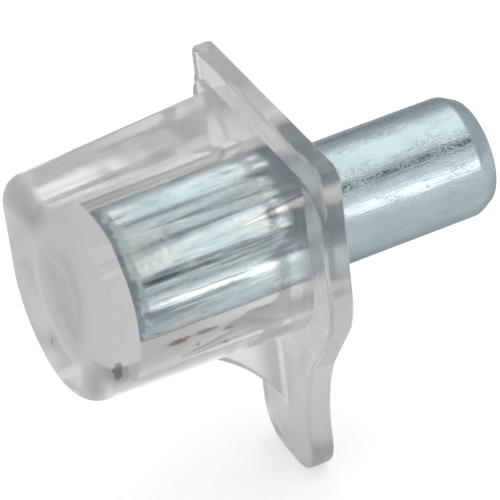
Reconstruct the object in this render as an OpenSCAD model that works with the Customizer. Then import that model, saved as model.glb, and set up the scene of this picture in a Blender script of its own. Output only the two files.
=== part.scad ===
// Shelf support pin: a plated steel pin held in a clear moulded support.
// The steel end plugs into a drilled panel. The moulding's flat seat carries
// the shelf, its flange stops against the panel, and a tail and a curved web
// keep the support from tipping under the load.
//
// Frame: X runs along the pin towards its free tip, Z is up and Y is across.
// The origin is on the pin's axis, in the flange's back face.

/* [Steel pin] */
// Diameter of the steel pin
pin_d = 5; // [3:0.1:7]
// Length of pin that stands out behind the flange
pin_out = 8.3; // [4:0.1:14]
// Length of pin held inside the moulding, from the flange's back face
pin_in = 7.8; // [4:0.1:8.5]
// Length of the lead-in chamfer at the free tip
pin_lead = 0.75; // [0.2:0.05:1.2]
// Amount by which that chamfer narrows the radius
pin_break = 0.4; // [0.1:0.02:0.8]
// Length of the chamfer at the inner end
pin_in_lead = 0.45; // [0.2:0.05:1.2]
// Amount by which that chamfer narrows the radius
pin_in_break = 0.3; // [0.1:0.02:0.8]
// Radius that softens the corner between chamfer and end face
pin_edge_r = 0.2; // [0.05:0.05:0.3]

/* [Bore] */
// Radial clearance between the pin and its blind bore
bore_gap = 0.02; // [0.01:0.01:0.1]
// Free depth left beyond the pin's inner end
bore_end_gap = 0.1; // [0.02:0.01:0.4]

/* [Sleeve] */
// Length of the sleeve in front of the flange
sleeve_len = 9.3; // [8.5:0.1:16]
// Half width, and radius of the round underside, at the flange
sleeve_r_root = 4.2; // [3.9:0.05:6]
// Half width, and radius of the round underside, at the free end
sleeve_r_tip = 4; // [3.7:0.05:6]
// Height of the flat seat above the axis, at the flange
seat_h_root = 4.4; // [4:0.05:5.2]
// Height of the flat seat above the axis, at the free end
seat_h_tip = 4.12; // [3.8:0.05:5.2]
// Radius of the long edges beside the seat, at the flange
seat_edge_root = 0.5; // [0.2:0.05:1]
// Radius of the long edges beside the seat, at the free end
seat_edge_tip = 1.2; // [0.2:0.05:1.4]
// Radius round the free end
end_r = 1; // [0.3:0.05:1.2]

/* [Flange] */
// Thickness of the lip above the seat
lip_t = 0.85; // [0.5:0.05:2]
// Height of the lip's top edge above the axis
lip_h = 5.6; // [5.4:0.05:9]
// Half width of the flange
flange_w = 5.6; // [5:0.05:8]
// Radius of the lip's top corners
lip_corner_r = 0.8; // [0.3:0.05:2]
// Extra thickness of the flange below the lip
pad_t = 0.18; // [0.1:0.02:0.6]
// Height of the thicker part's top edge above the axis
pad_h = 4.34; // [3.6:0.02:5]
// Radius of the thicker part's top corners
pad_corner_r = 1.1; // [0.5:0.1:2]

/* [Tail] */
// Depth of the tail's tip below the axis
tail_h = 11.4; // [9.5:0.1:16]
// Half width of the tail
tail_w = 2.2; // [1.7:0.05:3]
// Radius of the tail's bottom corners
tail_corner_r = 1.6; // [0.3:0.05:1.6]
// Depth below the axis at which the flange starts to narrow
hip_h = 0.4; // [0:0.1:1.5]
// Radius where the flange starts to narrow
hip_r = 3.5; // [1:0.1:4]
// Slope of the narrowing flanks, from the vertical
flank_angle = 34; // [28:1:40]
// Radius where the flanks run into the tail
waist_r = 7.5; // [4:0.1:8]

/* [Web] */
// Thickness of the web under the sleeve
web_t = 0.9; // [0.5:0.05:2]
// Reach of the web along the sleeve's underside, from the flange
web_reach = 4.6; // [2:0.1:6]
// Depth of the web's foot below the axis
web_foot = 8.7; // [6.5:0.1:9.2]
// Radius of the web's hollow edge
web_r = 7.5; // [6:0.1:12]

/* [Hidden] */
$fn = 96;

pin_r = pin_d / 2;
bore_r = pin_r + bore_gap;
flange_t = lip_t + pad_t;
root_x = -flange_t;
tip_x = root_x - sleeve_len;

// Size of the cutting bodies, larger than anything they cut
far = 40;
// Overlap that joins solids of one moulding
lap = 0.3;
// Length by which cutting bodies pass the ends of what they cut
past = 1;
// Height by which an arc stands proud of the walls it blends, too small to see
blend = 0.004;
// The same for the cones along the seat's long edges
edge_blend = 0.02;

// Draft of the sleeve's walls and of its seat, as a slope along X
side_draft = (sleeve_r_root - sleeve_r_tip) / sleeve_len;
seat_draft = (seat_h_root - seat_h_tip) / sleeve_len;

// Half width, seat height and radius of the seat's long edges at a place x
function half_width(x) = sleeve_r_root + (x - root_x) * side_draft;
function seat_height(x) = seat_h_root + (x - root_x) * seat_draft;
function seat_edge(x) =
    seat_edge_root + (root_x - x) * (seat_edge_tip - seat_edge_root) / sleeve_len;

// Centre of the arc with radius r from a to b that bends to the right-hand side
function arc_centre(a, b, r) =
    let (half = norm(b - a) / 2,
         side = [b[1] - a[1], a[0] - b[0]] / (2 * half))
    (a + b) / 2 + side * sqrt(r * r - half * half);

// ---- Steel pin -------------------------------------------------------------

// Half profile from the pin's middle to one end, with x as radius and y as length
module pin_half(length, lead, narrowing) {
    cone = atan2(narrowing, lead);
    end_face_r = pin_r - narrowing;
    // Distance from the end face's corner to where the softening arc touches
    touch = pin_edge_r * tan((90 - cone) / 2);
    polygon([[0, 0], [pin_r, 0], [pin_r, length - lead],
             [end_face_r + touch * sin(cone), length - touch * cos(cone)],
             [end_face_r - touch, length], [0, length]]);
    intersection() {
        translate([end_face_r - touch, length - pin_edge_r]) circle(pin_edge_r + blend);
        square([pin_r, length]);
    }
}

module steel_pin() {
    color("lightsteelblue")
        rotate([0, 90, 0])
            rotate_extrude() {
                pin_half(pin_out, pin_lead, pin_break);
                mirror([0, 1]) pin_half(pin_in, pin_in_lead, pin_in_break);
            }
}

// ---- Clear moulding --------------------------------------------------------

// Extrudes a shape drawn in the YZ plane from x0 to x1
module along_x(x0, x1) {
    translate([x0, 0, 0]) rotate([90, 0, 90]) linear_extrude(x1 - x0) children();
}

// Extrudes a shape drawn in the XZ plane across the part, to y = +-half
module across(half) {
    translate([0, half, 0]) rotate([90, 0, 0]) linear_extrude(2 * half) children();
}

// Upright block from bottom to top with its two top corners rounded
module round_topped(half, bottom, top, r) {
    translate([-half, bottom]) square([2 * half, top - r - bottom]);
    translate([r - half, bottom]) square([2 * (half - r), top - bottom]);
    for (side = [-1, 1]) translate([side * (half - r), top - r]) circle(r);
}

// Flange outline in the YZ plane: shoulders, flanks and tail, up to a given top
module flange_outline(top, corner_r) {
    // Arc centres, and the points where the straight flank touches the arcs
    normal = [cos(flank_angle), -sin(flank_angle)];
    hip = [flange_w - hip_r, -hip_h];
    hip_touch = hip + hip_r * normal;
    waist_touch_y = tail_w + waist_r - waist_r * cos(flank_angle);
    flank_len = (hip_touch[0] - waist_touch_y) / sin(flank_angle);
    waist_touch = hip_touch - flank_len * [sin(flank_angle), cos(flank_angle)];
    waist = waist_touch + waist_r * normal;

    round_topped(flange_w, -hip_h, top, corner_r);
    mirror([0, 1]) round_topped(tail_w, 0, tail_h, tail_corner_r);
    for (side = [0, 1]) mirror([side, 0])
        difference() {
            union() {
                translate(hip) circle(hip_r + blend);
                polygon([[0, -hip_h], hip, hip_touch, waist_touch, waist, [0, waist[1]]]);
            }
            translate(waist) circle(waist_r + blend);
        }
}

module flange() {
    along_x(-lip_t, 0) flange_outline(lip_h, lip_corner_r);
    along_x(root_x, -lip_t / 2) flange_outline(pad_h, pad_corner_r);
}

// Outline of the sleeve from its axis to a drafted wall, with the end's rounding.
// x runs along the sleeve, and y is the wall's distance wall_tip at the free end,
// growing by the slope draft towards the flange.
module drafted_outline(wall_tip, draft) {
    slant = sqrt(1 + draft * draft);
    arc = [tip_x + end_r, wall_tip + end_r * draft - end_r * slant];
    touch = arc + end_r * [-draft, 1] / slant;
    wall_root = wall_tip + (root_x + lap - tip_x) * draft;
    polygon([[root_x + lap, 0], [root_x + lap, wall_root], touch, arc,
             [tip_x, arc[1]], [tip_x, 0]]);
    intersection() {
        translate(arc) circle(end_r + blend);
        translate([tip_x, 0]) square(far);
    }
}

module half_plan() {
    drafted_outline(sleeve_r_tip, side_draft);
}

// Cones along the two long edges beside the seat
module seat_edges() {
    x0 = tip_x - past;
    x1 = root_x + past;
    r0 = seat_edge(x0);
    r1 = seat_edge(x1);
    start = [x0, half_width(x0) - r0, seat_height(x0) - r0];
    run = [x1, half_width(x1) - r1, seat_height(x1) - r1] - start;
    for (side = [0, 1]) mirror([0, side, 0])
        translate(start)
            rotate([0, acos(run[2] / norm(run)), atan2(run[1], run[0])])
                cylinder(h = norm(run), r1 = r0 + edge_blend, r2 = r1 + edge_blend);
}

// Space under the seat, with the long edges beside the seat rounded off
module under_seat() {
    x0 = tip_x - past;
    x1 = root_x + past;
    inner0 = half_width(x0) - seat_edge(x0);
    inner1 = half_width(x1) - seat_edge(x1);
    // Between the two edges, up to any height
    linear_extrude(far)
        polygon([[x0, -inner0], [x1, -inner1], [x1, inner1], [x0, inner0]]);
    // Below the two edges, out to any width
    across(far)
        polygon([[x0, 0], [x1, 0], [x1, seat_height(x1) - seat_edge(x1)],
                 [x0, seat_height(x0) - seat_edge(x0)]]);
    seat_edges();
}

module sleeve_upper() {
    intersection() {
        under_seat();
        linear_extrude(far) {
            half_plan();
            mirror([0, 1]) half_plan();
        }
        across(far) drafted_outline(seat_h_tip, seat_draft);
    }
}

module sleeve_lower() {
    intersection() {
        rotate([0, 90, 0]) rotate_extrude() rotate([0, 0, 90]) mirror([0, 1]) half_plan();
        translate([-far, -far, -2 * far]) cube(2 * far);
    }
}

// Thin web with a hollow edge, from the sleeve's underside to the flange
module web() {
    top_x = root_x - web_reach;
    foot = [root_x, -web_foot];
    centre = arc_centre([top_x, -half_width(top_x)], foot, web_r);
    across(web_t / 2)
        difference() {
            polygon([[top_x, 0], [root_x + pad_t, 0], [root_x + pad_t, -web_foot], foot, centre]);
            translate(centre) circle(web_r);
        }
}

module clear_sleeve() {
    color("gainsboro", 0.5)
        difference() {
            union() {
                flange();
                sleeve_upper();
                sleeve_lower();
                web();
            }
            rotate([0, -90, 0])
                translate([0, 0, -lap])
                    cylinder(h = pin_in + bore_end_gap + lap, r = bore_r);
        }
}

steel_pin();
clear_sleeve();
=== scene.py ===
"""Looks of a shelf support pin: a plated steel pin held in a clear moulding.

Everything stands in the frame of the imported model: X runs along the pin
towards its free tip, Z is up, and the origin is on the pin's axis in the
flange's back face. Shapes are worked on the bench at one unit to the
millimetre and are brought down to metres when they are finished.
"""

import logging
import math
from collections.abc import Callable, Sequence
from dataclasses import dataclass, field
from enum import Enum
from typing import NamedTuple

import bmesh
import bpy
from mathutils import Matrix, Vector

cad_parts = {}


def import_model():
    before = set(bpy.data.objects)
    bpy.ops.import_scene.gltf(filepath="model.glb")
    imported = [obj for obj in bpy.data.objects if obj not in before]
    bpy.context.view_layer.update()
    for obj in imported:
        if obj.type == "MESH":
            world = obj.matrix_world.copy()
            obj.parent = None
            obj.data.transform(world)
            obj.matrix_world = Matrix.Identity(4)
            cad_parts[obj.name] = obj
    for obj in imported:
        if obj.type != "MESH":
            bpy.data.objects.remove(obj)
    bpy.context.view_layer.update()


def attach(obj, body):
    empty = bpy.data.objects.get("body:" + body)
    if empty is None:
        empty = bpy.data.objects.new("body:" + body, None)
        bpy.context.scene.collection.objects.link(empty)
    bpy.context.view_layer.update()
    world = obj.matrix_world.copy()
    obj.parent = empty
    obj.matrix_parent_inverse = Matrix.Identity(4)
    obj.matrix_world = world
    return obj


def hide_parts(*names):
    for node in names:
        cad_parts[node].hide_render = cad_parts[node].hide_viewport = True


LOG = logging.getLogger("shelf_support")
MM = 0.001
QUARTER_TURN = math.pi / 2
# Millimetres: vertices closer than WELD are one vertex, and a coordinate that
# misses a place by less than SLACK is at that place
WELD = 0.0005
SLACK = 0.002
# The bevel profile that makes an arc
ARC_PROFILE = 0.5
# The strongest pull of large faces on the normals of their neighbours
NORMAL_WEIGHT = 100
# How often light may bounce, in all and through plastic, and off gloss
BOUNCES = 32
GLOSS_BOUNCES = 24

Point = tuple[float, float, float]
Color = tuple[float, float, float]
Range = tuple[float, float]
Edge = bmesh.types.BMEdge
Socket = bpy.types.NodeSocket
Outputs = bpy.types.NodeOutputs
Value = float | Sequence[float] | Socket

WHITE: Color = (1, 1, 1)


class Kind(Enum):
    """The mesh elements that a selection is made of."""

    POINT = "VERT"
    EDGE = "EDGE"


class Axis(Enum):
    """The axes that an edge is looked for along."""

    X = 0
    Z = 2


class Cut(Enum):
    """What one workpiece does to another where they overlap."""

    JOIN = "UNION"
    REMOVE = "DIFFERENCE"


# ---- Bench -----------------------------------------------------------------


def at(value: float, target: float) -> bool:
    """Tells whether a coordinate is at a place."""
    return abs(value - target) < SLACK


def ends_at(edge: Edge, axis: Axis, place: float) -> bool:
    """Tells whether both ends of an edge are at a place along an axis."""
    return all(at(vertex.co[axis.value], place) for vertex in edge.verts)


def turn_at(edge: Edge) -> float:
    """Gives the angle in degrees by which an edge's two faces turn."""
    first, second = edge.link_faces
    return math.degrees(first.normal.angle(second.normal))


@dataclass
class Workpiece:
    """A mesh on the bench, shaped in millimetres with the edit operators."""

    name: str
    obj: bpy.types.Object = field(init=False)

    def __post_init__(self) -> None:
        """Puts an empty mesh on the bench and opens it for editing."""
        mesh = bpy.data.meshes.new(self.name)
        self.obj = bpy.data.objects.new(self.name, mesh)
        bpy.context.scene.collection.objects.link(self.obj)
        self.open()

    @property
    def mesh(self) -> bmesh.types.BMesh:
        """The mesh as it stands in edit mode."""
        return bmesh.from_edit_mesh(self.obj.data)

    def open(self) -> None:
        """Opens the mesh for editing."""
        self.close()
        bpy.ops.object.mode_set(mode="EDIT")

    def close(self) -> None:
        """Goes back to object mode, with this as the only selected object."""
        if bpy.context.object and bpy.context.object.mode != "OBJECT":
            bpy.ops.object.mode_set(mode="OBJECT")
        bpy.ops.object.select_all(action="DESELECT")
        self.obj.select_set(True)
        bpy.context.view_layer.objects.active = self.obj

    def pick(self, kind: Kind, test: Callable[..., bool]) -> None:
        """Selects the elements that pass a test, and nothing else.

        Args:
            kind: The elements to look through.
            test: Called with each vertex or edge.
        """
        bpy.ops.mesh.select_mode(type=kind.value)
        bpy.ops.mesh.select_all(action="DESELECT")
        mesh = self.mesh
        mesh.normal_update()
        items = mesh.verts if kind is Kind.POINT else mesh.edges
        for item in [item for item in items if test(item)]:
            item.select_set(True)
        mesh.select_flush_mode()
        bmesh.update_edit_mesh(self.obj.data)

    def pick_edges(self, test: Callable[[Vector], bool]) -> None:
        """Selects the edges whose two ends both pass a test."""
        self.pick(Kind.EDGE, lambda edge: all(test(v.co) for v in edge.verts))

    def add_upright_plane(
        self, x: float, half: float, bottom: float, top: float
    ) -> None:
        """Adds a four-cornered plane that faces along X, and selects it.

        Args:
            x: Place of the plane along X.
            half: Half of its width across Y.
            bottom: Height of its lower edge.
            top: Height of its upper edge.
        """
        middle = (x, 0, (bottom + top) / 2)
        bpy.ops.mesh.primitive_plane_add(
            size=1, location=middle, rotation=(0, QUARTER_TURN, 0)
        )
        self.stretch((1, 2 * half, top - bottom), middle)

    def move(self, offset: Point) -> None:
        """Moves what is selected."""
        bpy.ops.transform.translate(value=offset)

    def stretch(self, factors: Point, centre: Point) -> None:
        """Scales what is selected about a point."""
        bpy.ops.transform.resize(value=factors, center_override=centre)

    def extrude_faces(self, offset: Point) -> None:
        """Extrudes the selected faces as one region."""
        bpy.ops.mesh.extrude_region_move(TRANSFORM_OT_translate={"value": offset})

    def extrude_edges(self, offset: Point) -> None:
        """Extrudes the selected edges."""
        bpy.ops.mesh.extrude_edges_move(TRANSFORM_OT_translate={"value": offset})

    def round_off(self, kind: Kind, reach: float, steps: int) -> None:
        """Turns the selected corners of an outline, or edges, into arcs.

        Args:
            kind: Whether corners or edges are rounded.
            reach: Length that an arc takes from each side of what it rounds.
            steps: Number of straight pieces in an arc.
        """
        bpy.ops.mesh.bevel(
            affect="VERTICES" if kind is Kind.POINT else "EDGES",
            offset=reach,
            segments=steps,
            profile=ARC_PROFILE,
            clamp_overlap=False,
        )

    def weld(self) -> None:
        """Merges vertices that lie on each other and turns faces outwards."""
        bpy.ops.mesh.select_mode(type=Kind.POINT.value)
        bpy.ops.mesh.select_all(action="SELECT")
        bpy.ops.mesh.remove_doubles(threshold=WELD)
        bpy.ops.mesh.normals_make_consistent(inside=False)
        bpy.ops.mesh.select_all(action="DESELECT")

    def combine(self, other: "Workpiece", cut: Cut) -> None:
        """Joins another workpiece to this one, or takes it away from it.

        Args:
            other: The second workpiece, which is used up.
            cut: What it does here.
        """
        other.close()
        self.close()
        modifier = self.obj.modifiers.new(cut.name.lower(), "BOOLEAN")
        modifier.operation = cut.value
        modifier.solver = "EXACT"
        modifier.object = other.obj
        bpy.ops.object.modifier_apply(modifier=modifier.name)
        bpy.data.objects.remove(other.obj)

    def finish(self, smooth_below: float) -> bpy.types.Object:
        """Smooths the shading and brings the piece down to metres.

        Args:
            smooth_below: Angle in degrees up to which neighbours blend.

        Returns:
            The finished object, with its place in its mesh.
        """
        self.open()
        bpy.ops.mesh.select_all(action="SELECT")
        self.stretch((MM, MM, MM), (0, 0, 0))
        bpy.ops.mesh.select_all(action="DESELECT")
        self.close()
        bpy.ops.object.shade_smooth_by_angle(angle=math.radians(smooth_below))
        modifier = self.obj.modifiers.new("even normals", "WEIGHTED_NORMAL")
        modifier.keep_sharp = True
        modifier.weight = NORMAL_WEIGHT
        bpy.ops.object.modifier_apply(modifier=modifier.name)
        self.obj.select_set(False)
        return self.obj


# ---- Finishes --------------------------------------------------------------


class NodeSheet:
    """A node tree that is filled in one node at a time."""

    def __init__(self, tree: bpy.types.NodeTree) -> None:
        """Takes the tree and clears it."""
        self.tree = tree
        tree.nodes.clear()

    def add(
        self,
        kind: str,
        inputs: dict[str | int, Value] | None = None,
        **settings: str | bpy.types.NodeTree,
    ) -> bpy.types.Node:
        """Adds a node.

        Args:
            kind: The node's type.
            inputs: Value or source socket for each named or numbered input.
            **settings: Properties of the node.

        Returns:
            The new node.
        """
        node = self.tree.nodes.new(kind)
        for name, value in settings.items():
            setattr(node, name, value)
        for name, value in (inputs or {}).items():
            if isinstance(value, Socket):
                self.tree.links.new(value, node.inputs[name])
            else:
                node.inputs[name].default_value = value
        return node

    def math(self, operation: str, *values: float | Socket) -> Socket:
        """Adds a Math node on numbers or sockets and gives its result."""
        inputs = dict(enumerate(values))
        return self.add("ShaderNodeMath", inputs, operation=operation).outputs[0]

    def vectors(self, operation: str, *values: Value) -> Outputs:
        """Adds a Vector Math node and gives its results, a vector and a number."""
        inputs = dict(enumerate(values))
        return self.add("ShaderNodeVectorMath", inputs, operation=operation).outputs

    def distance(self, value: Socket, target: float) -> Socket:
        """Gives how far a number is from a target."""
        return self.math("ABSOLUTE", self.math("SUBTRACT", value, target))

    def remap(
        self,
        value: Socket,
        source: Sequence[float | Socket],
        target: Range = (0, 1),
        smooth: bool = True,
    ) -> Socket:
        """Maps a value from one range to another, and stops at its ends.

        Args:
            value: The value to map.
            source: The two ends of the range that it comes from.
            target: The two ends of the range that it goes to.
            smooth: Whether it eases in and out.

        Returns:
            The mapped value.
        """
        node = self.add(
            "ShaderNodeMapRange",
            dict(enumerate((value, *source, *target))),
            interpolation_type="SMOOTHSTEP" if smooth else "LINEAR",
        )
        return node.outputs[0]

    def place_in_mm(self) -> Socket:
        """Gives the place on the piece.

        Returns:
            The place in millimetres.
        """
        place = self.add("ShaderNodeTexCoord").outputs["Object"]
        node = self.add("ShaderNodeMapping", {"Vector": place, "Scale": [1 / MM] * 3})
        return node.outputs["Vector"]

    def split(self, vector: Socket) -> Outputs:
        """Takes a vector apart and gives its X, Y and Z."""
        return self.add("ShaderNodeSeparateXYZ", {0: vector}).outputs

    def all_of(self, *masks: Socket) -> Socket:
        """Multiplies masks.

        Args:
            *masks: The masks.

        Returns:
            Their product.
        """
        total = masks[0]
        for mask in masks[1:]:
            total = self.math("MULTIPLY", total, mask)
        return total

    def mix_colors(
        self, share: Socket, first: Socket | Color, second: Socket | Color
    ) -> Socket:
        """Mixes two colours.

        Args:
            share: How much of the second colour is taken.
            first: The colour where the share is 0.
            second: The colour where the share is 1.

        Returns:
            The mixed colour.
        """
        inputs = {0: share}
        for index, color in ((6, first), (7, second)):
            inputs[index] = color if isinstance(color, Socket) else (*color, 1)
        return self.add("ShaderNodeMix", inputs, data_type="RGBA").outputs[2]

    def bump(self, height: Socket) -> Socket:
        """Turns a height in metres into a normal."""
        inputs = {"Height": height, "Strength": 1, "Distance": 1}
        return self.add("ShaderNodeBump", inputs).outputs[0]

    def surface(self, inputs: dict[str, Value]) -> None:
        """Adds the Principled shader with its inputs, and the material's output."""
        shader = self.add("ShaderNodeBsdfPrincipled", inputs)
        self.add("ShaderNodeOutputMaterial", {"Surface": shader.outputs[0]})


def start_material(name: str) -> tuple[bpy.types.Material, NodeSheet]:
    """Makes a material that is still empty.

    Args:
        name: Name of the material.

    Returns:
        The material, and the sheet to fill in.
    """
    material = bpy.data.materials.new(name)
    material.use_nodes = True
    return material, NodeSheet(material.node_tree)


class Effect:
    """An effect that is built once, as a node group, and placed in finishes."""

    name: str
    inputs: dict[str, float | Point]
    output: str

    def fill(self, sheet: NodeSheet, given: Outputs) -> Socket:
        """Builds the effect inside its node group.

        Args:
            sheet: The group's node tree.
            given: The group's inputs.

        Returns:
            What the group puts out.
        """
        raise NotImplementedError

    def tree(self) -> bpy.types.NodeTree:
        """Gives the node group, which is built when it is first asked for.

        Returns:
            The node group.
        """
        tree = bpy.data.node_groups.get(self.name)
        if tree:
            return tree
        tree = bpy.data.node_groups.new(self.name, "ShaderNodeTree")
        for name, value in self.inputs.items():
            kind = "Vector" if isinstance(value, tuple) else "Float"
            socket = tree.interface.new_socket(
                name=name, in_out="INPUT", socket_type="NodeSocket" + kind
            )
            socket.default_value = value
        tree.interface.new_socket(
            name=self.output, in_out="OUTPUT", socket_type="NodeSocketFloat"
        )
        sheet = NodeSheet(tree)
        result = self.fill(sheet, sheet.add("NodeGroupInput").outputs)
        sheet.add("NodeGroupOutput", {self.output: result})
        return tree

    def place_in(self, sheet: NodeSheet, **values: Value) -> Socket:
        """Places the effect in a finish.

        Args:
            sheet: The finish's node tree.
            **values: Value or source socket for each input.

        Returns:
            The effect's output.
        """
        node = sheet.add("ShaderNodeGroup", node_tree=self.tree())
        for name, value in values.items():
            if isinstance(value, Socket):
                sheet.tree.links.new(value, node.inputs[name])
            else:
                node.inputs[name].default_value = value
        return node.outputs[self.output]


class StretchedNoise(Effect):
    """An effect that is made from a noise stretched along the piece."""

    roughness: float

    def noise(self, sheet: NodeSheet, given: Outputs) -> Socket:
        """Gives the noise.

        Args:
            sheet: The group's node tree.
            given: The group's inputs.

        Returns:
            The noise, around a half.
        """
        place = sheet.vectors("MULTIPLY", given["Place"], given["Stretch"])[0]
        inputs = {"Vector": place, "Scale": 1, "Detail": 3, "Roughness": self.roughness}
        return sheet.add("ShaderNodeTexNoise", inputs).outputs["Fac"]


class SoftPatches(StretchedNoise):
    """Soft-edged patches, as of dull plating or of cloudy plastic."""

    name = "soft patches"
    inputs = {"Place": (0, 0, 0), "Stretch": (1, 1, 1), "Low": 0.35, "High": 0.65}
    output = "Share"
    roughness = 0.6

    def fill(self, sheet: NodeSheet, given: Outputs) -> Socket:
        """Cuts the noise off between two levels."""
        return sheet.remap(self.noise(sheet, given), (given["Low"], given["High"]))


class FineRelief(StretchedNoise):
    """Shallow relief, as of drawn lines or of flow lines in a mould."""

    name = "fine relief"
    inputs = {"Place": (0, 0, 0), "Stretch": (1, 1, 1), "Depth": 0.00001}
    output = "Height"
    roughness = 0.55

    def fill(self, sheet: NodeSheet, given: Outputs) -> Socket:
        """Scales the noise to a depth."""
        return sheet.math("MULTIPLY", self.noise(sheet, given), given["Depth"])


class Speck(Effect):
    """A single ragged spot, as of a bubble, a grain of dirt or a painted highlight."""

    name = "speck"
    inputs = {
        "Place": (0, 0, 0),
        "Centre": (0, 0, 0),
        "Size": (1, 1, 1),
        "Grain": 8,
        "Ragged": 1,
    }
    output = "Share"
    # Where the spot starts and where it is full, as shares of its size
    edge: Range = (1.15, 0.75)

    def fill(self, sheet: NodeSheet, given: Outputs) -> Socket:
        """Measures how far a place is from the spot's ragged edge.

        Args:
            sheet: The group's node tree.
            given: The group's inputs.

        Returns:
            The spot's share.
        """
        away = sheet.vectors("SUBTRACT", given["Place"], given["Centre"])[0]
        share = sheet.vectors("DIVIDE", away, given["Size"])[0]
        distance = sheet.vectors("LENGTH", share)["Value"]
        inputs = {"Vector": given["Place"], "Scale": given["Grain"], "Detail": 2}
        noise = sheet.add("ShaderNodeTexNoise", inputs).outputs["Fac"]
        rag = sheet.math(
            "MULTIPLY", sheet.math("SUBTRACT", noise, 0.5), given["Ragged"]
        )
        return sheet.remap(sheet.math("ADD", distance, rag), self.edge)


PATCHES = SoftPatches()
RELIEF = FineRelief()
SPECK = Speck()


@dataclass(frozen=True)
class Spread:
    """Soft patches: how the noise is stretched, and the levels it is cut off at."""

    stretch: Point
    low: float = 0.35
    high: float = 0.65

    def share(self, sheet: NodeSheet, place: Socket) -> Socket:
        """Places the patches in a finish."""
        levels = {"Low": self.low, "High": self.high}
        return PATCHES.place_in(sheet, Place=place, Stretch=self.stretch, **levels)


@dataclass(frozen=True)
class Ripple:
    """A relief: how the noise is stretched, and how deep it is."""

    stretch: Point
    depth: float

    def height(self, sheet: NodeSheet, place: Socket) -> Socket:
        """Places the relief in a finish."""
        values = {"Stretch": self.stretch, "Depth": self.depth}
        return RELIEF.place_in(sheet, Place=place, **values)


@dataclass(frozen=True)
class RaggedBorder:
    """A ragged border across the piece.

    A ripple in millimetres is added to the place along X, half its depth on
    average, so the fade's two ends are counted from x on that shifted scale.
    """

    x: float
    fade: Range
    ripple: Ripple

    def share(self, sheet: NodeSheet, place: Socket) -> Socket:
        """Marks what lies past the border.

        Args:
            sheet: The finish's node tree.
            place: Place on the piece in millimetres.

        Returns:
            0 before the border and 1 past it.
        """
        along = sheet.split(place)["X"]
        shifted = sheet.math("ADD", along, self.ripple.height(sheet, place))
        return sheet.remap(shifted, (self.x + self.fade[0], self.x + self.fade[1]))


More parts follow.
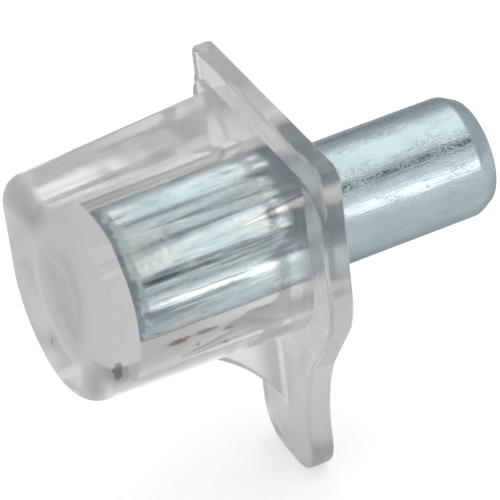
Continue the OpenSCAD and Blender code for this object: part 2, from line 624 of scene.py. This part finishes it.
@dataclass(frozen=True)
class PlatedSteel:
    """Bright zinc plating over drawn steel, with fine lines along the pin."""

    color: Color = (0.42, 0.505, 0.535)
    dull_color: Color = (0.36, 0.445, 0.48)
    dull: Spread = Spread((0.35, 1.1, 1.1), 0.35, 0.7)
    roughness: float = 0.1
    dull_roughness: float = 0.18
    # Share of the light that is kept where the surface turns away
    rim: Color = (0.5, 0.5, 0.5)
    # Where along X the stretch held in the moulding begins. Its colour is much
    # paler: painted light that makes up for the light the plastic round it takes
    held: Range = (0, -0.3)
    held_painted_light_color: Color = (0.9, 1.0, 1.0)
    held_dull_painted_light_color: Color = (0.62, 0.79, 0.86)
    # Long dark streaks on that stretch. They thin out along a line at a set
    # height, to keep a painted highlight where a reflection falls, and low down,
    # so the lower side is lighter. Across each band their share goes from one
    # level to the other
    streak_color: Color = (0.2, 0.28, 0.33)
    streaks: Spread = Spread((0.2, 3.4, 3.4), 0.5, 0.66)
    highlight_z: float = 2.05
    highlight_band: Range = (0.15, 0.35)
    highlight_levels: Range = (0.2, 0.85)
    low_band: Range = (-0.2, 0.5)
    low_levels: Range = (0.3, 1)
    # Towards the held end the paler colour gives way to a darker ragged band:
    # painted shade that widens the dark ring of the chamfer
    end_shade_color: Color = (0.36, 0.46, 0.51)
    end: RaggedBorder = RaggedBorder(
        -7.6, (0.41, 0.29), Ripple((0.5, 1.6, 1.6), 0.7)
    )
    # Dark patches near the flange, strongest on top: painted shade where the
    # pin runs into the flange
    root_color: Color = (0.25, 0.32, 0.36)
    root: RaggedBorder = RaggedBorder(-1.7, (2.7, 3.5), Ripple((0.35, 1.1, 1.1), 6))
    root_shade_band: Range = (0.4, 1.8)
    root_shade_levels: Range = (0.2, 0.9)
    # Drawn lines, crystals that lie in zones, and scores. Depths are in metres
    lines: Ripple = Ripple((0.3, 11, 11), 0.000006)
    crystals: Spread = Spread((13, 20, 20), 0.45, 0.7)
    crystal_zones: Spread = Spread((0.6, 1.1, 1.1), 0.4, 0.65)
    crystal_zone_levels: Range = (0.3, 1)
    crystal_depth: float = 0.000006
    scores: Spread = Spread((1.3, 15, 15), 0.64, 0.74)
    score_depth: float = 0.000005
    score_color: Color = (0.2, 0.24, 0.26)
    score_share: float = 0.7

    def _height(self, sheet: NodeSheet, place: Socket, scores: Socket) -> Socket:
        """Adds up the drawn lines, the plating's crystals and the scores.

        Args:
            sheet: The material's node tree.
            place: Place on the pin in millimetres.
            scores: Share of the scores.

        Returns:
            The height in metres.
        """
        zones = sheet.remap(
            self.crystal_zones.share(sheet, place), (0, 1), self.crystal_zone_levels
        )
        crystals = sheet.all_of(self.crystals.share(sheet, place), zones)
        grain = sheet.math("MULTIPLY", crystals, self.crystal_depth)
        cuts = sheet.math("MULTIPLY", scores, self.score_depth)
        plain = sheet.math("SUBTRACT", self.lines.height(sheet, place), grain)
        return sheet.math("SUBTRACT", plain, cuts)

    def _held_color(self, sheet: NodeSheet, place: Socket, dull: Socket) -> Socket:
        """Mixes the held stretch's colour: painted light, streaks and painted shade.

        Args:
            sheet: The material's node tree.
            place: Place on the pin in millimetres.
            dull: Share of the dull patches.

        Returns:
            The colour.
        """
        height = sheet.split(place)["Z"]
        # Streaks thin out along a painted highlight line, and low down
        beside_highlight = sheet.distance(height, self.highlight_z)
        streaks = sheet.all_of(
            self.streaks.share(sheet, place),
            sheet.remap(beside_highlight, self.highlight_band, self.highlight_levels),
            sheet.remap(height, self.low_band, self.low_levels),
        )
        # Painted shade near the flange, strongest on top
        root = sheet.all_of(
            self.root.share(sheet, place),
            sheet.remap(height, self.root_shade_band, self.root_shade_levels),
        )
        # Painted light: the held stretch is paler than the bare pin
        color = sheet.mix_colors(dull, self.held_painted_light_color, self.held_dull_painted_light_color)
        color = sheet.mix_colors(streaks, color, self.streak_color)
        return sheet.mix_colors(root, color, self.root_color)

    def make(self) -> bpy.types.Material:
        """Builds the material.

        Returns:
            The material.
        """
        material, sheet = start_material("plated steel")
        place = sheet.place_in_mm()
        dull = self.dull.share(sheet, place)
        scores = self.scores.share(sheet, place)
        # Inside the moulding the pin takes the paler colour, which is painted light
        color = sheet.mix_colors(
            sheet.remap(sheet.split(place)["X"], self.held),
            sheet.mix_colors(dull, self.color, self.dull_color),
            self._held_color(sheet, place, dull),
        )
        # Painted shade: a darker ragged band at the held end
        color = sheet.mix_colors(self.end.share(sheet, place), color, self.end_shade_color)
        score_share = sheet.math("MULTIPLY", scores, self.score_share)
        roughness = (self.roughness, self.dull_roughness)
        sheet.surface(
            {
                "Base Color": sheet.mix_colors(score_share, color, self.score_color),
                "Metallic": 1,
                "Specular Tint": (*self.rim, 1),
                "Roughness": sheet.remap(dull, (0, 1), roughness, smooth=False),
                "Normal": sheet.bump(self._height(sheet, place, scores)),
            }
        )
        return material


@dataclass(frozen=True)
class BlemishOrHighlight:
    """A bubble, a fleck of dirt, or a pale patch of painted highlight in the plastic's
    skin.
    """

    centre: Point
    size: Point
    color: Color
    ragged: float = 1.0
    grain: float = 8.0

    def share(self, sheet: NodeSheet, place: Socket) -> Socket:
        """Places the blemish in a finish.

        Args:
            sheet: The finish's node tree.
            place: Place on the piece in millimetres.

        Returns:
            The blemish's share.
        """
        return SPECK.place_in(
            sheet,
            Place=place,
            Centre=self.centre,
            Size=self.size,
            Grain=self.grain,
            Ragged=self.ragged,
        )


class Zones(NamedTuple):
    """Masks of the parts of the moulding that have a finish of their own."""

    bore: Socket
    web: Socket
    flange: Socket


@dataclass(frozen=True)
class ClearPlastic:
    """Clear moulded plastic with faint flow lines, a bubble, some dirt and a painted
    highlight.
    """

    color: Color = (0.535, 0.54, 0.54)
    dull_color: Color = (0.51, 0.515, 0.52)
    clouds: Spread = Spread((0.35, 0.35, 0.35))
    # The sleeve is a little paler towards its root
    root_color: Color = (0.71, 0.715, 0.715)
    root_reach: Range = (-7.0, -2.5)
    # The flange and the web are thinner, so each of their walls takes less light
    flange_color: Color = (0.65, 0.655, 0.655)
    web_color: Color = (0.84, 0.85, 0.85)
    # Where the flange begins, and the web's half thickness, top and root
    flange_x: float = -1.2
    web_half: float = 0.47
    web_top: float = -4.0
    web_root: float = -1.04
    # The bore's wall takes no tint, since the outer walls have taken it all
    bore_r: float = 2.56
    bore_end: float = -8.0
    ior: float = 1.47
    # Roughness of the sleeve's sides, and of each part that is duller. The seat
    # and the tail turn dull between two heights, the end between two places on X
    roughness: float = 0.1
    seat_roughness: float = 0.14
    seat_z: Range = (3.4, 4)
    end_roughness: float = 0.3
    end_x: Range = (-9.1, -9.45)
    flange_roughness: float = 0.2
    tail_roughness: float = 0.3
    tail_z: Range = (-4.3, -6)
    web_roughness: float = 0.35
    # The bore's wall is smooth
    bore_roughness: float = 0.03
    # Flow lines, with their depth in metres
    flow: Ripple = Ripple((0.25, 0.5, 0.5), 0.00003)
    blemishes_and_highlight: Sequence[BlemishOrHighlight] = (
        BlemishOrHighlight((-9.26, -3.91, -0.94), (0.22, 0.5, 0.5), (0.1, 0.1, 0.09), 1.7, 4),
        BlemishOrHighlight((-10.33, 0.01, -1.51), (0.3, 0.07, 0.2), (0.08, 0.04, 0.02), 0.5),
        BlemishOrHighlight((-6.72, -4.04, -0.53), (0.5, 0.25, 0.14), (0.12, 0.08, 0.04), 2, 9),
        BlemishOrHighlight((-5.6, -4.07, -0.47), (0.5, 0.25, 0.13), (0.15, 0.12, 0.09), 2, 9),
        BlemishOrHighlight((-4.67, -4.05, -0.76), (0.22, 0.2, 0.07), (0.18, 0.17, 0.16), 1.2, 9),
        BlemishOrHighlight((-4.76, -3.84, -1.5), (0.11, 0.2, 0.11), (0.1, 0.09, 0.09), 1, 9),
        BlemishOrHighlight((-5.93, -3.96, -1.03), (0.08, 0.2, 0.12), (0.15, 0.14, 0.14), 1, 9),
        BlemishOrHighlight((-5.74, -3.79, -1.56), (0.08, 0.2, 0.08), (0.26, 0.25, 0.25), 1, 9),
        BlemishOrHighlight((-3.43, -4.14, -0.33), (0.55, 0.2, 0.08), (0.24, 0.24, 0.23), 1.6, 7),
        # A pale patch on the seat: painted highlight, a soft streak of reflected light
        BlemishOrHighlight((-5.4, 1.8, 4.27), (1.7, 0.9, 0.5), (0.79, 0.8, 0.75), 1.6, 1),
    )

    def _zones(self, sheet: NodeSheet, place: Socket) -> Zones:
        """Marks out the bore's wall, the web and the flange.

        Args:
            sheet: The material's node tree.
            place: Place on the moulding in millimetres.

        Returns:
            The masks, each 0 or 1.
        """
        x, y, z = sheet.split(place)
        squares = (sheet.math("POWER", y, 2), sheet.math("POWER", z, 2))
        from_axis = sheet.math("SQRT", sheet.math("ADD", *squares))
        bore = sheet.all_of(
            sheet.math("LESS_THAN", from_axis, self.bore_r),
            sheet.math("GREATER_THAN", x, self.bore_end),
        )
        web = sheet.all_of(
            sheet.math("LESS_THAN", sheet.math("ABSOLUTE", y), self.web_half),
            sheet.math("LESS_THAN", z, self.web_top),
            sheet.math("LESS_THAN", x, self.web_root),
        )
        return Zones(bore, web, sheet.math("GREATER_THAN", x, self.flange_x))

    def _color(self, sheet: NodeSheet, place: Socket, zones: Zones) -> Socket:
        """Mixes the plastic's tint with its clouds, blemishes and painted highlight.

        Args:
            sheet: The material's node tree.
            place: Place on the moulding in millimetres.
            zones: Masks of the parts with a finish of their own.

        Returns:
            The colour.
        """
        near_root = sheet.remap(sheet.split(place)["X"], self.root_reach)
        color = sheet.mix_colors(
            self.clouds.share(sheet, place), self.color, self.dull_color
        )
        color = sheet.mix_colors(near_root, color, self.root_color)
        color = sheet.mix_colors(zones.flange, color, self.flange_color)
        color = sheet.mix_colors(zones.web, color, self.web_color)
        for spot in self.blemishes_and_highlight:
            color = sheet.mix_colors(spot.share(sheet, place), color, spot.color)
        return sheet.mix_colors(zones.bore, color, WHITE)

    def _roughness(self, sheet: NodeSheet, place: Socket, zones: Zones) -> Socket:
        """Roughens the seat, the sleeve's end, the flange, the tail and the web.

        Args:
            sheet: The material's node tree.
            place: Place on the moulding in millimetres.
            zones: Masks of the parts with a finish of their own.

        Returns:
            The roughness.
        """
        x, _, z = sheet.split(place)
        side = self.roughness
        rough = sheet.remap(z, self.seat_z, (side, self.seat_roughness))
        for part in (
            sheet.remap(x, self.end_x, (side, self.end_roughness)),
            sheet.math("MULTIPLY", zones.flange, self.flange_roughness),
            sheet.remap(z, self.tail_z, (0, self.tail_roughness)),
            sheet.math("MULTIPLY", zones.web, self.web_roughness),
        ):
            rough = sheet.math("MAXIMUM", rough, part)
        bore = sheet.math("MULTIPLY", zones.bore, side - self.bore_roughness)
        return sheet.math("SUBTRACT", rough, bore)

    def make(self) -> bpy.types.Material:
        """Builds the material.

        Returns:
            The material.
        """
        material, sheet = start_material("clear plastic")
        place = sheet.place_in_mm()
        zones = self._zones(sheet, place)
        sheet.surface(
            {
                "Base Color": self._color(sheet, place, zones),
                "Roughness": self._roughness(sheet, place, zones),
                "IOR": self.ior,
                "Transmission Weight": 1,
                "Normal": sheet.bump(self.flow.height(sheet, place)),
            }
        )
        return material


# ---- Pin -------------------------------------------------------------------


@dataclass
class SteelPin:
    """The turned pin, with a lead-in chamfer at each end."""

    radius: float = 2.5
    # Reach of the free end and of the held end from the flange's back face
    out: float = 8.3
    inner: float = 7.8
    # Length of each end's chamfer, and how much it narrows the radius
    lead: float = 0.75
    narrowing: float = 0.4
    inner_lead: float = 0.45
    inner_narrowing: float = 0.3
    # Rounding of the free end's face, of its chamfer's start and of the held end
    end_edge_r: float = 0.22
    lead_edge_r: float = 0.16
    inner_edge_r: float = 0.06
    sides: int = 128
    edge_steps: int = 4
    smooth_below: float = 20

    @staticmethod
    def _selected_x(work: Workpiece) -> float:
        """Gives the mean place along X of what is selected.

        Args:
            work: The pin on the bench.

        Returns:
            The place.
        """
        mesh = work.mesh
        places = [vertex.co.x for vertex in mesh.verts if vertex.select]
        return sum(places) / len(places)

    def _shape(self) -> Workpiece:
        """Turns the pin from a disc at its tip.

        Returns:
            The pin, still on the bench.
        """
        work = Workpiece("plated_pin")
        end_r = self.radius - self.narrowing
        bpy.ops.mesh.primitive_circle_add(
            vertices=self.sides,
            radius=end_r,
            fill_type="NGON",
            location=(self.out, 0, 0),
            rotation=(0, QUARTER_TURN, 0),
        )
        inner_end_r = self.radius - self.inner_narrowing
        lead_x = self.out - self.lead
        inner_lead_x = self.inner_lead - self.inner
        for x, factor in (
            (lead_x, self.radius / end_r),
            (inner_lead_x, 1),
            (-self.inner, inner_end_r / self.radius),
        ):
            work.extrude_faces((x - self._selected_x(work), 0, 0))
            work.stretch((1, factor, factor), (x, 0, 0))
        work.weld()
        for x, radius in (
            (self.out, self.end_edge_r),
            (lead_x, self.lead_edge_r),
            (-self.inner, self.inner_edge_r),
            (inner_lead_x, self.inner_edge_r),
        ):
            work.pick_edges(lambda co, x=x: at(co.x, x))
            work.round_off(Kind.EDGE, radius, self.edge_steps)
        work.weld()
        return work

    def build(self) -> bpy.types.Object:
        """Makes the finished pin."""
        return self._shape().finish(self.smooth_below)


# ---- Clear moulding --------------------------------------------------------


@dataclass
class Sleeve:
    """The drafted sleeve with a flat seat, round the inner half of the pin."""

    root_x: float = -1.03
    tip_x: float = -10.33
    # At the root and at the tip: half width, which is the radius of the round
    # underside, height of the seat, and radius of the long edges beside it
    half_width: Range = (4.2, 4.0)
    seat_height: Range = (4.4, 4.12)
    seat_edge: Range = (0.5, 1.2)
    end_r: float = 1.0
    # Depth to which the sleeve runs into the flange
    lap: float = 0.5
    round_steps: int = 24
    edge_steps: int = 8
    end_steps: int = 10

    def _size_at(self, x: float, ends: Range) -> float:
        """Gives a size at a place along X, from its values at root and tip."""
        share = (self.root_x - x) / (self.root_x - self.tip_x)
        return ends[0] + (ends[1] - ends[0]) * share

    def _outline(self, work: Workpiece, x: float) -> None:
        """Draws the sleeve's outline at a place along it.

        Args:
            work: The sleeve on the bench.
            x: Place of the outline along X.
        """
        half = self._size_at(x, self.half_width)
        top = self._size_at(x, self.seat_height)
        work.add_upright_plane(x, half, -half, top)
        work.pick(Kind.POINT, lambda v: at(v.co.x, x) and v.co.z < 0)
        work.round_off(Kind.POINT, half, self.round_steps)
        work.pick(Kind.POINT, lambda v: at(v.co.x, x) and at(v.co.z, top))
        edge = self._size_at(x, self.seat_edge)
        work.round_off(Kind.POINT, edge, self.edge_steps)
        bpy.ops.mesh.select_all(action="SELECT")
        bpy.ops.mesh.remove_doubles(threshold=WELD)

    def build(self) -> Workpiece:
        """Lofts the sleeve between its two outlines and rounds its end.

        Returns:
            The sleeve, still on the bench.
        """
        work = Workpiece("sleeve")
        start = self.root_x + self.lap
        for x in (start, self.tip_x):
            self._outline(work, x)
        work.pick_edges(lambda co: True)
        bpy.ops.mesh.delete(type="ONLY_FACE")
        work.pick_edges(lambda co: True)
        bpy.ops.mesh.bridge_edge_loops()
        for x in (start, self.tip_x):
            work.pick_edges(lambda co, x=x: at(co.x, x))
            bpy.ops.mesh.edge_face_add()
        work.weld()
        work.pick_edges(lambda co: at(co.x, self.tip_x))
        work.round_off(Kind.EDGE, self.end_r, self.end_steps)
        work.weld()
        return work


@dataclass
class Flange:
    """The flange: a lip above the seat, shoulders, narrowing flanks and a tail."""

    # Thickness of the lip, and what the pad below it adds in front
    lip_t: float = 0.85
    pad_t: float = 0.18
    half: float = 5.6
    lip_top: float = 5.6
    # Radius of the lip's top corners, on the -Y side and on the +Y side
    lip_r: tuple[float, float] = (0.8, 0.45)
    pad_top: float = 4.34
    pad_r: float = 1.1
    # Level at which the shoulders start to turn in, and the arcs' radii
    hip_level: float = -0.4
    hip_r: float = 3.5
    flank_angle: float = 34.0
    waist_r: float = 7.5
    tail_half: float = 2.2
    tail_end: float = -11.4
    tail_r: float = 1.6
    rim_r: float = 0.17
    corner_steps: int = 10
    rim_steps: int = 4
    # Degrees: faces that turn by less run on level, and a rim turns by more
    seam_turn: float = 1.0
    rim_turn: float = 40.0

    def _flank_corners(self) -> tuple[float, float, float]:
        """Finds the corners that the two arcs of a flank round off.

        Returns:
            Height of the upper corner, height of the lower corner, and the
            share of its radius that an arc takes from each side of its corner.
        """
        turn = math.radians(self.flank_angle)
        share = math.tan(turn / 2)
        hip = self.hip_level - self.hip_r * share
        waist = hip - (self.half - self.tail_half) / math.tan(turn)
        return hip, waist, share

    def _pad_outline(self, work: Workpiece, x: float) -> None:
        """Draws the outline of the thicker part, from its top to the tail.

        Args:
            work: The flange on the bench.
            x: Place of the outline along X.
        """
        hip, waist, share = self._flank_corners()
        work.add_upright_plane(x, self.half, hip, self.pad_top)
        for level, low, old, new in (
            (hip, waist, self.half, self.tail_half),
            (waist, self.tail_end, self.tail_half, self.tail_half),
        ):
            work.pick_edges(lambda co, level=level: at(co.z, level))
            work.extrude_edges((0, 0, low - level))
            work.stretch((1, new / old, 1), (x, 0, low))
        work.pick(
            Kind.EDGE,
            lambda e: ends_at(e, Axis.Z, hip) or ends_at(e, Axis.Z, waist),
        )
        bpy.ops.mesh.dissolve_edges(use_verts=False)
        for z, half, reach in (
            (self.pad_top, self.half, self.pad_r),
            (hip, self.half, self.hip_r * share),
            (waist, self.tail_half, self.waist_r * share),
            (self.tail_end, self.tail_half, self.tail_r),
        ):
            work.pick(
                Kind.POINT,
                lambda v, z=z, half=half: at(v.co.z, z) and at(abs(v.co.y), half),
            )
            work.round_off(Kind.POINT, reach, self.corner_steps)

    def _widen_to_lip(self, work: Workpiece, x: float) -> None:
        """Turns the top of the pad's outline into the ledge round the lip.

        Args:
            work: The flange, whose open rim lies at x.
            x: Place of the ledge along X.
        """
        low = self.pad_top - self.pad_r
        work.pick_edges(lambda co: at(co.x, x) and co.z > low - SLACK)
        work.extrude_edges((0, 0, 0))
        mesh = work.mesh
        fresh = {vertex.index for vertex in mesh.verts if vertex.select}
        for side, lip_r in zip((-1, 1), self.lip_r):
            work.pick(
                Kind.POINT,
                lambda v, side=side: v.index in fresh and v.co.y * side > 0,
            )
            shrink = lip_r / self.pad_r
            centre = (x, side * (self.half - self.pad_r), low)
            work.stretch((1, shrink, shrink), centre)
            rise = self.lip_top - lip_r - low
            work.move((0, side * (self.pad_r - lip_r), rise))

    def _is_seam(self, edge: Edge) -> bool:
        """Tells whether an edge lies across a wall that runs on level past it."""
        return ends_at(edge, Axis.X, -self.lip_t) and turn_at(edge) < self.seam_turn

    def _is_ledge_start(self, edge: Edge) -> bool:
        """Tells whether an edge borders the ledge where it is too thin to round.

        Args:
            edge: An edge of the flange.

        Returns:
            True for such an edge.
        """
        low, high = sorted(vertex.co.z for vertex in edge.verts)
        return (
            at(low, self.pad_top - self.pad_r)
            and not at(low, high)
            and ends_at(edge, Axis.X, -self.lip_t)
            and all(at(abs(vertex.co.y), self.half) for vertex in edge.verts)
        )

    def _is_rim(self, edge: Edge) -> bool:
        """Tells whether an edge borders the front, the ledge or the back face."""
        walled = len(edge.link_faces) == 2 and not self._is_ledge_start(edge)
        return walled and edge.is_convex and turn_at(edge) > self.rim_turn

    def build(self) -> Workpiece:
        """Builds the flange from its front face to its back face.

        Returns:
            The flange, still on the bench.
        """
        work = Workpiece("flange")
        self._pad_outline(work, -self.lip_t - self.pad_t)
        bpy.ops.mesh.select_all(action="SELECT")
        work.extrude_faces((self.pad_t, 0, 0))
        bpy.ops.mesh.delete(type="ONLY_FACE")
        self._widen_to_lip(work, -self.lip_t)
        work.pick(
            Kind.EDGE, lambda e: e.is_boundary and ends_at(e, Axis.X, -self.lip_t)
        )
        work.extrude_edges((self.lip_t, 0, 0))
        bpy.ops.mesh.edge_face_add()
        work.weld()
        work.pick(Kind.EDGE, self._is_seam)
        bpy.ops.mesh.dissolve_edges(use_verts=True)
        # Where the ledge starts it is too thin to round, so that stretch is
        # halved, one side at a time, and its lower half stays sharp
        for side in (-1, 1):
            work.pick(
                Kind.EDGE,
                lambda e, side=side: self._is_ledge_start(e)
                and e.verts[0].co.y * side > 0,
            )
            bpy.ops.mesh.subdivide(number_cuts=1)
        work.pick(Kind.EDGE, self._is_rim)
        work.round_off(Kind.EDGE, self.rim_r, self.rim_steps)
        work.weld()
        return work


@dataclass
class Web:
    """The thin web with a hollow edge, under the sleeve."""

    # The two ends of the hollow edge, and its radius
    top_x: float = -5.63
    top_z: float = -4.1
    root_x: float = -1.03
    foot_z: float = -8.7
    radius: float = 7.5
    thickness: float = 0.9
    # Depth to which the web runs into the sleeve and the flange
    lap: float = 0.6
    # Width of the body that cuts the hollow edge, in thicknesses of the web
    cutter_width: float = 4.0
    # How far past its ends an edge may lie and still be the hollow edge
    reach: float = 0.01
    sides: int = 240
    edge_r: float = 0.08
    edge_steps: int = 3

    def _hollow(self) -> Workpiece:
        """Makes the round body that cuts the hollow edge.

        Returns:
            The body, still on the bench.
        """
        top = Vector((self.top_x, self.top_z))
        foot = Vector((self.root_x, self.foot_z))
        half = (foot - top).length / 2
        out = Vector((top.y - foot.y, foot.x - top.x)).normalized()
        centre = (top + foot) / 2 - out * math.sqrt(self.radius**2 - half**2)
        work = Workpiece("hollow")
        bpy.ops.mesh.primitive_cylinder_add(
            vertices=self.sides,
            radius=self.radius,
            depth=self.cutter_width * self.thickness,
            location=(centre.x, 0, centre.y),
            rotation=(QUARTER_TURN, 0, 0),
        )
        return work

    def _is_hollow_edge(self, edge: Edge) -> bool:
        """Tells whether an edge runs along the web's hollow edge.

        Args:
            edge: An edge of the web.

        Returns:
            True for such an edge.
        """
        first, second = (vertex.co for vertex in edge.verts)
        return (
            at(abs(first.y), self.thickness / 2)
            and at(first.y, second.y)
            and max(first.x, second.x) < self.root_x + self.reach
            and max(first.z, second.z) < self.top_z + self.reach
        )

    def build(self) -> Workpiece:
        """Cuts the hollow edge into a thin slab and softens its corners.

        Returns:
            The web, still on the bench.
        """
        inner_x, inner_z = self.root_x + self.lap, self.top_z + self.lap
        middle = ((self.top_x + inner_x) / 2, 0, (self.foot_z + inner_z) / 2)
        size = (inner_x - self.top_x, self.thickness, inner_z - self.foot_z)
        work = Workpiece("web")
        bpy.ops.mesh.primitive_cube_add(size=1, location=middle)
        work.stretch(size, middle)
        work.combine(self._hollow(), Cut.REMOVE)
        work.open()
        work.weld()
        work.pick(Kind.EDGE, self._is_hollow_edge)
        work.round_off(Kind.EDGE, self.edge_r, self.edge_steps)
        work.weld()
        return work


@dataclass
class ClearMoulding:
    """The clear moulded support: sleeve, flange and web in one piece."""

    sleeve: Sleeve = field(default_factory=Sleeve)
    flange: Flange = field(default_factory=Flange)
    web: Web = field(default_factory=Web)
    bore_r: float = 2.52
    # The bore's blind end, and how far its cutter passes the back face
    bore_end: float = -7.9
    bore_past: float = 1.0
    bore_sides: int = 128
    smooth_below: float = 32

    def _bore(self) -> Workpiece:
        """Makes the body that cuts the blind bore.

        Returns:
            The body, still on the bench.
        """
        work = Workpiece("bore")
        length = self.bore_past - self.bore_end
        bpy.ops.mesh.primitive_cylinder_add(
            vertices=self.bore_sides,
            radius=self.bore_r,
            depth=length,
            location=(self.bore_past - length / 2, 0, 0),
            rotation=(0, QUARTER_TURN, 0),
        )
        return work

    def build(self) -> bpy.types.Object:
        """Joins the parts of the moulding and cuts its bore.

        Returns:
            The finished moulding.
        """
        body = self.flange.build()
        body.obj.name = "clear_moulding"
        body.combine(self.sleeve.build(), Cut.JOIN)
        body.combine(self.web.build(), Cut.JOIN)
        body.combine(self._bore(), Cut.REMOVE)
        return body.finish(self.smooth_below)


# ---- Studio ----------------------------------------------------------------


@dataclass(frozen=True)
class Strip:
    """A long soft light that runs parallel to the pin, or a gap that takes light.

    The angle goes round X from +Y, so that 90 degrees is straight overhead.
    Half the width and the soft edge are angles too, all in degrees.
    """

    angle: float
    half: float
    soft: float
    strength: float
    tint: Color = WHITE


@dataclass(frozen=True)
class Studio:
    """Floor, light and camera."""

    floor_z: float = -0.0114
    floor_size: float = 4.0
    floor_color: float = 0.8
    # The floor's own glow as the camera sees it, and as gloss and plastic do
    floor_glow: float = 0.45
    reflected_glow: float = 0.3
    # Light from every side, to which the strips add theirs
    room: float = 0.72
    # Along X, the middle of the directions that the strips light, how far they
    # reach from it and over how much they fade out
    aim: float = 0.31
    reach: float = 0.16
    fade: float = 0.2
    strips: Sequence[Strip] = (
        Strip(angle=79, half=37, soft=12, strength=0.87, tint=(1.03, 1, 0.95)),
        Strip(angle=175, half=12.5, soft=7, strength=1.75, tint=(1.12, 1, 0.97)),
        Strip(angle=125, half=7.5, soft=4, strength=-0.6),
        Strip(angle=148, half=14, soft=6, strength=0.45),
        Strip(angle=0, half=16, soft=16, strength=-0.25),
    )
    # The camera's lens and sensor in millimetres, the distances in metres that
    # it sees between, its place, and what is right, down and ahead in its view
    lens: float = 254.88
    sensor: float = 36.0
    clip: Range = (0.01, 20)
    eye: Point = (-0.044548, -0.103947, 0.079457)
    right: Point = (0.8895, -0.4454, -0.1021)
    down: Point = (-0.3356, -0.4849, -0.8076)
    ahead: Point = (0.3102, 0.7526, -0.5808)

    def place_camera(self) -> None:
        """Adds the camera and makes it the scene's own."""
        data = bpy.data.cameras.new("camera")
        data.lens = self.lens
        data.sensor_width = self.sensor
        data.clip_start, data.clip_end = self.clip
        camera = bpy.data.objects.new("camera", data)
        columns = (
            Vector(self.right).normalized(),
            -Vector(self.down).normalized(),
            -Vector(self.ahead).normalized(),
        )
        turn = Matrix(columns).transposed().to_4x4()
        camera.matrix_world = Matrix.Translation(self.eye) @ turn
        bpy.context.scene.collection.objects.link(camera)
        bpy.context.scene.camera = camera

    @staticmethod
    def _strip_light(
        sheet: NodeSheet, strip: Strip, angle: Socket, window: Socket
    ) -> Socket:
        """Gives the light that a strip adds, or takes, in each direction.

        Args:
            sheet: The world's node tree.
            strip: The strip.
            angle: Angle of the direction round X.
            window: Share of the strips along X.

        Returns:
            The light, as a colour.
        """
        away = sheet.distance(angle, math.radians(strip.angle))
        edges = (
            math.radians(strip.half + strip.soft / 2),
            math.radians(strip.half - strip.soft / 2),
        )
        glow = sheet.math("MULTIPLY", sheet.remap(away, edges), window)
        color = [strip.strength * value for value in strip.tint]
        inputs = {0: color, "Scale": glow}
        return sheet.add("ShaderNodeVectorMath", inputs, operation="SCALE").outputs[0]

    def light_world(self) -> None:
        """Lights the room with soft strips, and shows the camera plain white."""
        world = bpy.data.worlds.new("studio")
        world.use_nodes = True
        bpy.context.scene.world = world
        sheet = NodeSheet(world.node_tree)
        x, y, z = sheet.split(sheet.add("ShaderNodeTexCoord").outputs["Generated"])
        angle = sheet.math("ARCTAN2", z, y)
        # The strips are as long as the pin's own reflection needs, and no longer
        window = sheet.remap(
            sheet.distance(x, self.aim), (self.reach + self.fade, self.reach)
        )
        total = sheet.add("ShaderNodeRGB").outputs[0]
        total.default_value = (self.room, self.room, self.room, 1)
        for strip in self.strips:
            light = self._strip_light(sheet, strip, angle, window)
            total = sheet.vectors("ADD", total, light)[0]
        seen = sheet.add("ShaderNodeLightPath").outputs["Is Camera Ray"]
        color = sheet.mix_colors(seen, total, WHITE)
        back = sheet.add("ShaderNodeBackground", {"Color": color, "Strength": 1})
        sheet.add("ShaderNodeOutputWorld", {"Surface": back.outputs[0]})

    def _floor_material(self) -> bpy.types.Material:
        """Builds the floor's white material, which still takes a shadow.

        Returns:
            The material.
        """
        material, sheet = start_material("white floor")
        path = sheet.add("ShaderNodeLightPath").outputs
        by_piece = sheet.math(
            "MAXIMUM", path["Is Glossy Ray"], path["Is Transmission Ray"]
        )
        glow = sheet.math(
            "ADD",
            sheet.math("MULTIPLY", path["Is Camera Ray"], self.floor_glow),
            sheet.math("MULTIPLY", by_piece, self.reflected_glow),
        )
        sheet.surface(
            {
                "Base Color": (*[self.floor_color] * 3, 1),
                "Roughness": 1,
                "Specular IOR Level": 0,
                "Emission Color": (*WHITE, 1),
                "Emission Strength": glow,
            }
        )
        return material

    def lay_floor(self) -> None:
        """Lays the floor."""
        bpy.ops.object.select_all(action="DESELECT")
        bpy.ops.mesh.primitive_plane_add(
            size=self.floor_size, location=(0, 0, self.floor_z)
        )
        floor = bpy.context.object
        floor.name = "floor"
        bpy.ops.object.transform_apply(location=True, rotation=True, scale=True)
        floor.data.materials.append(self._floor_material())
        floor.select_set(False)


# ---- Assembly --------------------------------------------------------------


def dress(
    piece: bpy.types.Object, material: bpy.types.Material, node: str
) -> None:
    """Gives a piece its finish and puts it in the place of a solid.

    Args:
        piece: The finished piece.
        material: Its material.
        node: Name of the solid that it stands for.
    """
    piece.data.materials.clear()
    piece.data.materials.append(material)
    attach(piece, "root")
    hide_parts(node)
    counts = (len(piece.data.vertices), len(piece.data.polygons))
    LOG.info("%s: %d vertices, %d faces", piece.name, *counts)


def let_light_through() -> None:
    """Lets light paths bounce often enough to find their way out of the plastic."""
    cycles = bpy.context.scene.cycles
    cycles.max_bounces = BOUNCES
    cycles.transmission_bounces = BOUNCES
    cycles.glossy_bounces = GLOSS_BOUNCES


def main() -> None:
    """Builds the support, the studio and the camera."""
    logging.basicConfig(level=logging.INFO, format="%(name)s: %(message)s")
    bpy.context.scene.view_settings.view_transform = "Standard"
    let_light_through()
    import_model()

    studio = Studio()
    studio.place_camera()
    studio.light_world()
    studio.lay_floor()

    dress(SteelPin().build(), PlatedSteel().make(), "steel_pin")
    plastic = ClearPlastic().make()
    dress(ClearMoulding().build(), plastic, "clear_sleeve")


if __name__ == "__main__":
    main()
